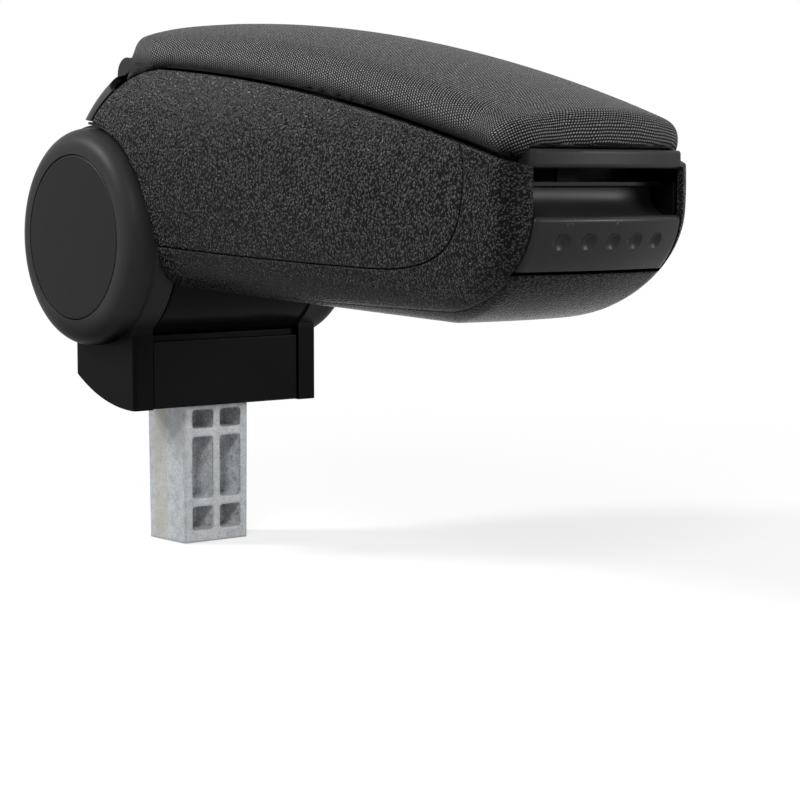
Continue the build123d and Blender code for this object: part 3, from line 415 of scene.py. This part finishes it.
# Rear cover, front bezel and lid lip: smooth ABS mouldings, clipped on over the lid's hinge, round the paddle
# and along the lid's front edge. They have the hub's satin black, and the bezel's bay is deep black.
trim_abs = moulded_black("satin_black_abs", "#1c1c1c", 0.36, 0.12)
bezel_abs = moulded_black("satin_black_abs_bezel", "#0a0a0a", 0.36, 0.1)
finish_in(trim_abs, "rear_cover", "lid_lip")
finish_in(bezel_abs, "front_bezel")

# Release paddle: one ABS moulding with a finger cove and five dimples that slides in the bezel. The solid's
# facets are merged here, so that its broad faces shade flat up to the rims of the dimples.
scene = bpy.context.scene
MERGE = 0.00002
SLIVER = 0.00001
SHARP_DEGREES = 18.0


def merged_copy(name, source, sliver=None):
    """A new object with a CAD node's mesh, its doubled points merged and, if asked, its slivers dissolved."""
    body = bmesh.new()
    body.from_mesh(node[source].data)
    bmesh.ops.remove_doubles(body, verts=body.verts, dist=MERGE)
    if sliver is not None:
        bmesh.ops.dissolve_degenerate(body, edges=body.edges, dist=sliver)
    mesh = bpy.data.meshes.new(name)
    body.to_mesh(mesh)
    body.free()
    piece = bpy.data.objects.new(name, mesh)
    scene.collection.objects.link(piece)
    return piece


def shade_smooth(mesh):
    """Shades all of a mesh's faces smooth."""
    mesh.polygons.foreach_set("use_smooth", [True] * len(mesh.polygons))


paddle_abs = moulded_black("satin_black_abs_paddle", "#212121", 0.34, 0.12, edge=0.0)
paddle = merged_copy("paddle_moulding", "release_paddle", sliver=SLIVER)
shade_smooth(paddle.data)
paddle.data.set_sharp_from_angle(angle=math.radians(SHARP_DEGREES))
flat = paddle.modifiers.new("flat_faces", "WEIGHTED_NORMAL")
flat.keep_sharp = True
paddle.data.materials.append(paddle_abs)
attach(paddle, "paddle")
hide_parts("release_paddle")

# Return leaf and striker: strips of spring steel, stamped and blackened. The leaf is held at its rear, and
# bends flat as the paddle is pressed. The striker is fixed under the lid and catches on the paddle.
# Blackened steel: near black, with a dull metal shine.
black_steel = plated_steel("blackened_spring_steel", "#0c0c0c", "#141414", 0.4, 0.5)
finish_in(black_steel, "striker")
leaf = bpy.data.objects.new("spring_leaf", node["return_leaf"].data.copy())
scene.collection.objects.link(leaf)
leaf.data.materials.clear()
leaf.data.materials.append(black_steel)
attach(leaf, "arm")
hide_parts("return_leaf")
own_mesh(leaf)

# Storage tub and lid plate: mouldings in unpainted black polypropylene. The tub sits in the chassis, and
# the plate carries the pad and turns on the lid pin.
# Plain polypropylene: dull and black, with a faint mottle where it shrank from the tool.
MOTTLE = {"etch": 0.7, "depth": 0.03}
tub_plastic = moulded_black("dull_black_polypropylene", "#141414", 0.58, 0.12, **MOTTLE)
plate_plastic = moulded_black("dull_black_polypropylene_plate", "#050505", 0.6, 0.02, **MOTTLE)
finish_in(tub_plastic, "storage_tub")
finish_in(plate_plastic, "lid_plate")

# Cushion: a foam pad on the lid plate, upholstered in one piece of black woven polyester that is drawn
# tight over its crowned top and tucked in along the seam round its foot.
PAD_VOXEL = 0.0020
PAD_SHRINK = 0.0007
PAD_HELD = 0.004
PAD_SWELL_CAP = 0.0018
TUCK_DEPTH = 0.0045
TUCK_HEIGHT = 0.0095
TUCK_POWER = 1.6
TUCK_STARTS = 0.035
TUCK_RUN = 0.02
NOSE_RUN = 0.05
PAD_LEAN = 0.0060
PAD_DEEP = 0.018
LEAN_RUN = 0.03
FREE_OVER = 0.005
HINGE_BEHIND = -0.0045
HINGE_HEIGHT = 0.140
SEAM_ARC = (-0.035, 0.076, 1.060)
CROWN_ARC = (0.023, 0.095, 0.740)


def long_arc(x, apex, height, radius):
    """Height of a long arc in the side view; its apex is taken from the hinge axis."""
    return HINGE_HEIGHT + height - radius + np.sqrt(radius**2 - (x - HINGE_BEHIND - apex) ** 2)


def corners(mesh):
    """A mesh's points as an array."""
    points = np.empty(len(mesh.vertices) * 3)
    mesh.vertices.foreach_get("co", points)
    return points.reshape(-1, 3)


def settle(obj):
    """Applies an object's modifiers to its mesh."""
    graph = bpy.context.evaluated_depsgraph_get()
    mesh = bpy.data.meshes.new_from_object(obj.evaluated_get(graph))
    obj.modifiers.clear()
    obj.data = mesh


pad = merged_copy("cushion_pad", "cushion")
remesh = pad.modifiers.new("voxels", "REMESH")
remesh.mode = "VOXEL"
remesh.voxel_size = PAD_VOXEL
evened = pad.modifiers.new("evened", "SMOOTH")
evened.iterations = 3
fitted = pad.modifiers.new("fitted", "SHRINKWRAP")
fitted.target = node["cushion"]
fitted.wrap_method = "NEAREST_SURFACEPOINT"
settle(pad)

# The foot turns in under the pad, along the sides and the nose, and leaves a dark groove over the arm. The
# rear corner leans back over the lid's roll.
at_rest = corners(pad.data)
outward = np.array([v.normal[:] for v in pad.data.vertices])
(pad_rear, _, _), (pad_nose, pad_left, _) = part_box("cushion")
above_seam = at_rest[:, 2] - long_arc(at_rest[:, 0], *SEAM_ARC)


def ease(values, start, end):
    """Runs smoothly from 0 at the start to 1 at the end."""
    share = np.clip((values - start) / (end - start), 0.0, 1.0)
    return share * share * (3.0 - 2.0 * share)


as_cut = at_rest.copy()
tuck = TUCK_DEPTH * (1.0 - np.clip(above_seam / TUCK_HEIGHT, 0.0, 1.0)) ** TUCK_POWER
tuck *= ease(at_rest[:, 0], TUCK_STARTS, TUCK_STARTS + TUCK_RUN)
at_rest[:, 1] *= 1.0 - tuck / pad_left
at_rest[:, 0] -= tuck * ease(at_rest[:, 0], pad_nose - NOSE_RUN, pad_nose)
leaning = ease(-at_rest[:, 0], -pad_rear - LEAN_RUN, -pad_rear)
at_rest[:, 0] -= PAD_LEAN * (leaning * np.clip(above_seam / PAD_DEEP, 0.0, 1.0))
free = np.clip((above_seam - PAD_HELD) / FREE_OVER, 0.0, 1.0)
started = at_rest - outward * (PAD_SHRINK * free)[:, None]
pad.data.vertices.foreach_set("co", started.ravel())
held = pad.vertex_groups.new(name="held")
for index, share in enumerate(free):
    held.add([index], 1.0 - float(share), "REPLACE")

# The foam swells under the cloth, which is held along its foot.
SWELL_FRAMES = 20
SWELL_PRESSURE = 4.0
CLOTH_STIFF = 40.0
CLOTH_BEND = 6.0
cloth = pad.modifiers.new("foam", "CLOTH")
cloth.settings.vertex_group_mass = "held"
cloth.settings.use_pressure = True
cloth.settings.uniform_pressure_force = SWELL_PRESSURE
cloth.settings.effector_weights.gravity = 0.0
cloth.settings.tension_stiffness = CLOTH_STIFF
cloth.settings.compression_stiffness = CLOTH_STIFF
cloth.settings.bending_stiffness = CLOTH_BEND
cloth.point_cache.frame_end = SWELL_FRAMES
for step in range(1, SWELL_FRAMES + 1):
    scene.frame_set(step)
settle(pad)
scene.frame_set(1)
moved = corners(pad.data) - started
far = np.linalg.norm(moved, axis=1, keepdims=True)
moved *= np.minimum(1.0, PAD_SWELL_CAP / np.maximum(far, 1e-9))
pad.data.vertices.foreach_set("co", (started + moved).ravel())

pad.vertex_groups.clear()
loose = pad.vertex_groups.new(name="loose")
for index, share in enumerate(free):
    loose.add([index], float(share), "REPLACE")
draw = pad.modifiers.new("drawn_tight", "SMOOTH")
draw.iterations = 10
draw.vertex_group = "loose"
settle(pad)
pad.vertex_groups.clear()

# The cloth's threads run along and across on top, and go on down the sides as it was drawn over them.
TURN = 0.018
TURNED = 0.005
REACH_STEPS = 41


def reach(along, out):
    """How far the pad goes out at each place along it."""
    edges = np.linspace(along.min(), along.max(), REACH_STEPS)
    furthest = [out[(along >= low) & (along <= high)].max() for low, high in zip(edges, edges[1:])]
    return np.interp(along, (edges[:-1] + edges[1:]) / 2, furthest)


aside = np.abs(as_cut[:, 1])
drop = np.maximum(0.0, long_arc(as_cut[:, 0], *CROWN_ARC) - as_cut[:, 2])
from_side = reach(as_cut[:, 0], aside) - aside
from_nose = reach(aside, as_cut[:, 0]) - as_cut[:, 0]
over_side = np.sign(as_cut[:, 1]) * ease(-from_side, -TURN, -TURNED)
over_end = ease(-from_nose, -TURN, -TURNED) - ease(-as_cut[:, 0], -pad_rear - TURN, -pad_rear)
# The third value is the height over the seam, which sets the painted shade of the cloth in the groove.
laid = np.stack(
    (as_cut[:, 0] + drop * over_end, as_cut[:, 1] + drop * over_side, above_seam), axis=1
)
threads = pad.data.attributes.new("threads", "FLOAT_VECTOR", "POINT")
threads.data.foreach_set("vector", laid.ravel())
shade_smooth(pad.data)
finer = pad.modifiers.new("finer", "SUBSURF")
finer.levels = finer.render_levels = 1

# Woven polyester: rows of short slanted floats across the pad, each row set off by half a float. The floats
# are a dull grey and the gaps near black. The cloth low in the groove is painted near black, a painted shade.
# The real rows are about 1.1 mm apart and are drawn a little coarser, so that they show.
ROW_MM = 1.35
WAVER_MM = 9.0
WAVER_FAR = 0.0009
FUR_MM = 0.35
FLOAT_DEEP = 0.0002
FLOAT_SLANT = 0.45
FLOAT_NARROW = 8.5
FLOAT_SHORT = 5.4
GROOVE_SHADE_LOW = 0.002
GROOVE_SHADE_HIGH = 0.008
CLOTH_FLOAT = "#868686"
CLOTH_GAP = "#040404"
weave_cloth, tree, shader, place = new_material("woven_polyester")
laid_out = add_node(tree, "Attribute", {}, attribute_name="threads").outputs["Vector"]
waver = add_node(tree, "TexNoise", {"Vector": place, "Scale": per_mm(WAVER_MM), "Detail": 2.0})
drift = add_node(
    tree,
    "VectorMath",
    {0: waver.outputs["Color"], 1: (WAVER_FAR,) * 3, 2: laid_out},
    operation="MULTIPLY_ADD",
)
counted = add_node(tree, "VectorMath", {0: drift, "Scale": per_mm(ROW_MM)}, operation="SCALE")
across = add_node(tree, "SeparateXYZ", {0: counted})
row = add_node(tree, "Math", {0: across.outputs["X"]}, operation="FLOOR")
odd = add_node(tree, "Math", {0: row, 1: 2.0}, operation="FLOORED_MODULO")
staggered = add_node(tree, "Math", {0: odd, 1: 0.5, 2: across.outputs["Y"]}, operation="MULTIPLY_ADD")
in_row = add_node(tree, "Math", {0: across.outputs["X"]}, operation="FRACT")
in_float = add_node(tree, "Math", {0: staggered}, operation="FRACT")
off_row = add_node(tree, "Math", {0: in_row, 1: 0.5}, operation="SUBTRACT")
off_float = add_node(tree, "Math", {0: in_float, 1: 0.5}, operation="SUBTRACT")
slanted = add_node(tree, "Math", {0: off_row, 1: FLOAT_SLANT, 2: off_float}, operation="MULTIPLY_ADD")
wide = add_node(tree, "Math", {0: off_row, 1: off_row}, operation="MULTIPLY")
long = add_node(tree, "Math", {0: slanted, 1: slanted}, operation="MULTIPLY")
narrowed = add_node(tree, "Math", {0: wide, 1: -FLOAT_NARROW, 2: 1.0}, operation="MULTIPLY_ADD")
rounded = add_node(tree, "Math", {0: long, 1: -FLOAT_SHORT, 2: narrowed}, operation="MULTIPLY_ADD")
float_height = add_node(tree, "Math", {0: rounded}, operation="SQRT", use_clamp=True)
fur = add_node(tree, "TexNoise", {"Vector": place, "Scale": per_mm(FUR_MM), "Detail": 2.0})
relief = add_node(tree, "Math", {0: fur, 1: 0.3, 2: float_height}, operation="MULTIPLY_ADD")
patch = add_node(tree, "TexNoise", {"Vector": counted, "Scale": 0.9, "Detail": 1.0})
bright = add_node(
    tree, "MapRange", {"Value": patch, "From Min": 0.3, "From Max": 0.7, "To Min": 0.7, "To Max": 1.0}
)
crown = add_node(tree, "Math", {0: float_height, 1: float_height}, operation="MULTIPLY")
raised = add_node(tree, "MapRange", {"Value": crown, "From Min": 0.2, "From Max": 1.0})
# Painted shade: the cloth low in the groove is painted near black, and the random patches vary its
# brightness.
up = add_node(tree, "SeparateXYZ", {0: laid_out}).outputs["Z"]
out_of_groove_shade = add_node(tree, "MapRange", {"Value": up, "From Min": GROOVE_SHADE_LOW, "From Max": GROOVE_SHADE_HIGH})
patch_and_groove_shade = add_node(tree, "Math", {0: bright, 1: out_of_groove_shade}, operation="MULTIPLY")
show = add_node(tree, "Math", {0: raised, 1: patch_and_groove_shade}, operation="MULTIPLY", use_clamp=True)
tint = add_node(tree, "Mix", {0: show, 6: linear(CLOTH_GAP), 7: linear(CLOTH_FLOAT)}, data_type="RGBA")
bump = add_node(tree, "Bump", {"Height": relief, "Strength": 0.8, "Distance": FLOAT_DEEP})
feed(
    tree,
    shader,
    {
        "Base Color": tint.outputs[2],
        "Normal": bump,
        "Roughness": 0.7,
        "Specular IOR Level": 0.1,
        "Sheen Weight": 0.06,
        "Sheen Roughness": 0.4,
    },
)
pad.data.materials.append(weave_cloth)
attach(pad, "lid")
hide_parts("cushion")

# Roll cover: a thin strip of satin ABS, clipped over the lid plate's rolled rear edge, with a disc over each
# end of the roll. While the lid is shut, it carries on the rear cover's outline up to the pad.
ARC_STEPS = 25


def arc_shell(name, axis, inner, outer, start, end, near, far):
    """A closed strip bent round a cross axis, from its radii, its angles in degrees and its two ends."""
    made = bmesh.new()
    rings = []
    for angle in np.radians(np.linspace(start, end, ARC_STEPS)):
        aim = Vector((math.cos(angle), 0.0, math.sin(angle)))
        rings.append(
            [
                made.verts.new(Vector((axis[0], y, axis[1])) + aim * radius)
                for radius, y in ((inner, near), (outer, near), (outer, far), (inner, far))
            ]
        )
    for back, front in zip(rings, rings[1:]):
        for i in range(4):
            made.faces.new((back[i], back[(i + 1) % 4], front[(i + 1) % 4], front[i]))
    made.faces.new(rings[0])
    made.faces.new(reversed(rings[-1]))
    bmesh.ops.recalc_face_normals(made, faces=made.faces)
    mesh = bpy.data.meshes.new(name)
    made.to_mesh(mesh)
    made.free()
    piece = bpy.data.objects.new(name, mesh)
    scene.collection.objects.link(piece)
    return piece


ROLL_SKIN = 0.0003
ROLL_STARTS = 96.0
ROLL_ENDS = 187.0
DISC_STARTS = 40.0
DISC_HOLE = 0.0005
pin_low, pin_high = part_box("lid_pin")
pin = ((pin_low[0] + pin_high[0]) / 2, (pin_low[2] + pin_high[2]) / 2)
roll_radius = pin[0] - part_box("lid_plate")[0][0]
roll_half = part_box("lid_plate")[1][1]
skin_radius = roll_radius + ROLL_SKIN
for name, inner, start, near, far in (
    ("lid_roll_cover", roll_radius, ROLL_STARTS, -roll_half, roll_half),
    ("lid_roll_end_right", DISC_HOLE, DISC_STARTS, -roll_half - ROLL_SKIN, -roll_half),
    ("lid_roll_end_left", DISC_HOLE, DISC_STARTS, roll_half, roll_half + ROLL_SKIN),
):
    skin = arc_shell(name, pin, inner, skin_radius, start, ROLL_ENDS, near, far)
    skin.data.materials.append(trim_abs)
    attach(skin, "lid")

# Rear gap sheet: a thin strip of satin ABS in the bezel's deep black, bent round the hub under the rear
# cover's lower edge. It is painted shade, a dark sheet that closes the gap between the cover and the cheeks,
# and it keeps clear of them as the arm tilts.
SHEET_CLEAR = 0.0002
SHEET_THICKNESS = 0.001
SHEET_INSET = 0.0015
SHEET_START = 62.0
SHEET_END = 85.0
hub_low, hub_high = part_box("hinge_shaft")
hub = ((hub_low[0] + hub_high[0]) / 2, (hub_low[2] + hub_high[2]) / 2)
cheek_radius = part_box("stand_housing")[1][2] - hub[1]
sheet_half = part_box("rear_cover")[1][1] - SHEET_INSET
gap_shade_sheet = arc_shell(
    "rear_gap_shade_sheet",
    hub,
    cheek_radius + SHEET_CLEAR,
    cheek_radius + SHEET_CLEAR + SHEET_THICKNESS,
    SHEET_START,
    SHEET_END,
    -sheet_half,
    sheet_half,
)
gap_shade_sheet.data.materials.append(bezel_abs)
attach(gap_shade_sheet, "arm")

# Studio: a white floor under the post that keeps a soft shadow, white all round, a soft key lamp high
# behind the near side, a fill lamp over the camera, one overhead and one beyond the nose.
scene.view_settings.view_transform = "Standard"


def seen_directly(tree):
    """1 for rays from the camera and from mirroring or clear surfaces, 0 for rays that only carry light."""
    path = add_node(tree, "LightPath", {}).outputs
    mirrored = add_node(
        tree, "Math", {0: path["Is Glossy Ray"], 1: path["Is Transmission Ray"]}, operation="MAXIMUM"
    )
    return add_node(tree, "Math", {0: path["Is Camera Ray"], 1: mirrored}, operation="MAXIMUM")


ROOM_LIGHT = 0.25
world = bpy.data.worlds.new("white_room")
scene.world = world
world.use_nodes = True
tree = world.node_tree
strength = add_node(
    tree, "MapRange", {"Value": seen_directly(tree), "To Min": ROOM_LIGHT, "To Max": 1.0}
)
feed(tree, tree.nodes["Background"], {"Color": (1.0, 1.0, 1.0, 1.0), "Strength": strength})

FLOOR_HALF = 4.0
FLOOR_BELOW = 0.0005
SHADOW_NEAR = 0.1
SHADOW_FAR = 0.7
SHADOW_GLOW = 0.72
bpy.ops.mesh.primitive_plane_add(size=2 * FLOOR_HALF, location=(0.0, 0.0, -FLOOR_BELOW))
floor = bpy.context.object
floor.name = "floor"
# Painted board: white and dull. Near the post a share of its brightness is real light, so a shadow shows, and
# the light that it throws back up is held down, so the arm keeps its dark underside.
painted, tree, shader, place = new_material("white_painted_board")
away = add_node(tree, "VectorMath", {0: place}, operation="LENGTH")
near = add_node(
    tree,
    "MapRange",
    {
        "Value": away.outputs["Value"],
        "From Min": SHADOW_NEAR,
        "From Max": SHADOW_FAR,
        "To Min": SHADOW_GLOW,
        "To Max": 1.0,
    },
    interpolation_type="SMOOTHSTEP",
)
glow = add_node(tree, "Math", {0: near, 1: seen_directly(tree)}, operation="MULTIPLY")
white = add_node(tree, "Emission", {"Color": (1.0, 1.0, 1.0, 1.0), "Strength": 1.0})
board_tint = add_node(
    tree, "Mix", {0: seen_directly(tree), 6: linear("#a4a4a4"), 7: linear("#e6e6e6")}, data_type="RGBA"
)
feed(tree, shader, {"Base Color": board_tint.outputs[2], "Roughness": 0.8, "Specular IOR Level": 0.1})
board = add_node(tree, "MixShader", {0: glow, 1: shader, 2: white})
feed(tree, tree.nodes["Material Output"], {"Surface": board})
floor.data.materials.append(painted)

ARM_MIDDLE = (0.12, 0.0, 0.16)


def soft_lamp(name, place, size, power):
    """A square soft lamp that faces the middle of the arm."""
    lamp = bpy.data.lights.new(name, "AREA")
    lamp.shape = "SQUARE"
    lamp.size = size
    lamp.energy = power
    stand = bpy.data.objects.new(name, lamp)
    stand.location = place
    stand.rotation_euler = (Vector(ARM_MIDDLE) - Vector(place)).to_track_quat("-Z", "Y").to_euler()
    scene.collection.objects.link(stand)


soft_lamp("key_lamp", (-0.75, -0.95, 0.95), 0.32, 29.0)
soft_lamp("fill_lamp", (0.95, -0.95, 0.95), 0.36, 14.0)
soft_lamp("top_lamp", (0.15, 0.3, 1.5), 1.0, 1.5)
soft_lamp("nose_lamp", (1.2, 0.75, 0.5), 0.5, 11.0)

# Camera: at the photograph's viewing angle, a long lens a metre from the arm, level and unshifted.
eye = bpy.data.cameras.new("camera")
eye.sensor_width = 36.0
eye.lens = 101.28
camera = bpy.data.objects.new("camera", eye)
camera.location = (0.86306, -0.58876, 0.16360)
camera.rotation_euler = Vector((-0.76840, 0.63280, -0.09546)).to_track_quat("-Z", "Y").to_euler()
scene.collection.objects.link(camera)
scene.camera = camera
